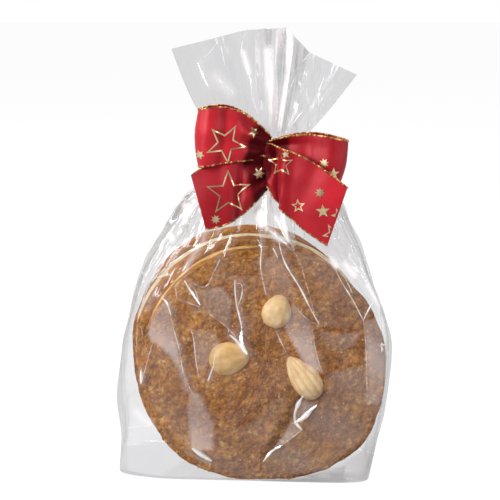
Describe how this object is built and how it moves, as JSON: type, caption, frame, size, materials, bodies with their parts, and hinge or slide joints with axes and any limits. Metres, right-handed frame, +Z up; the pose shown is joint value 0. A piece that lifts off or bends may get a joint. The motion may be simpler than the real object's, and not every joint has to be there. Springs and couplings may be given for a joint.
{
  "type": "bag of lebkuchen",
  "caption": "Clear gift bag with a flat bottom that holds round almond lebkuchen on edge, gathered at the neck and tied with a red ribbon bow with gold stars.",
  "frame": {"origin": "on the flat bottom that the bag stands on, below the middle of the biscuits", "axes": "+Z up through the neck, +X to the right and -Y out of the front, where the bow and the almonds are"},
  "size_m": [0.1157, 0.0552, 0.1859],
  "materials": {
    "film": "clear, crinkled, glossy film",
    "ribbon": "woven taffeta with a soft sheen",
    "gold": "gold foil stars and gold thread edges",
    "lebkuchen": "rough baked crumb with ground nuts",
    "wafer": "thin matt baking wafer",
    "almond": "blanched almond half, lightly toasted"
  },
  "bodies": {
    "root": {"bag": "film", "ribbon_bow": "ribbon"}
  },
  "joints": []
}
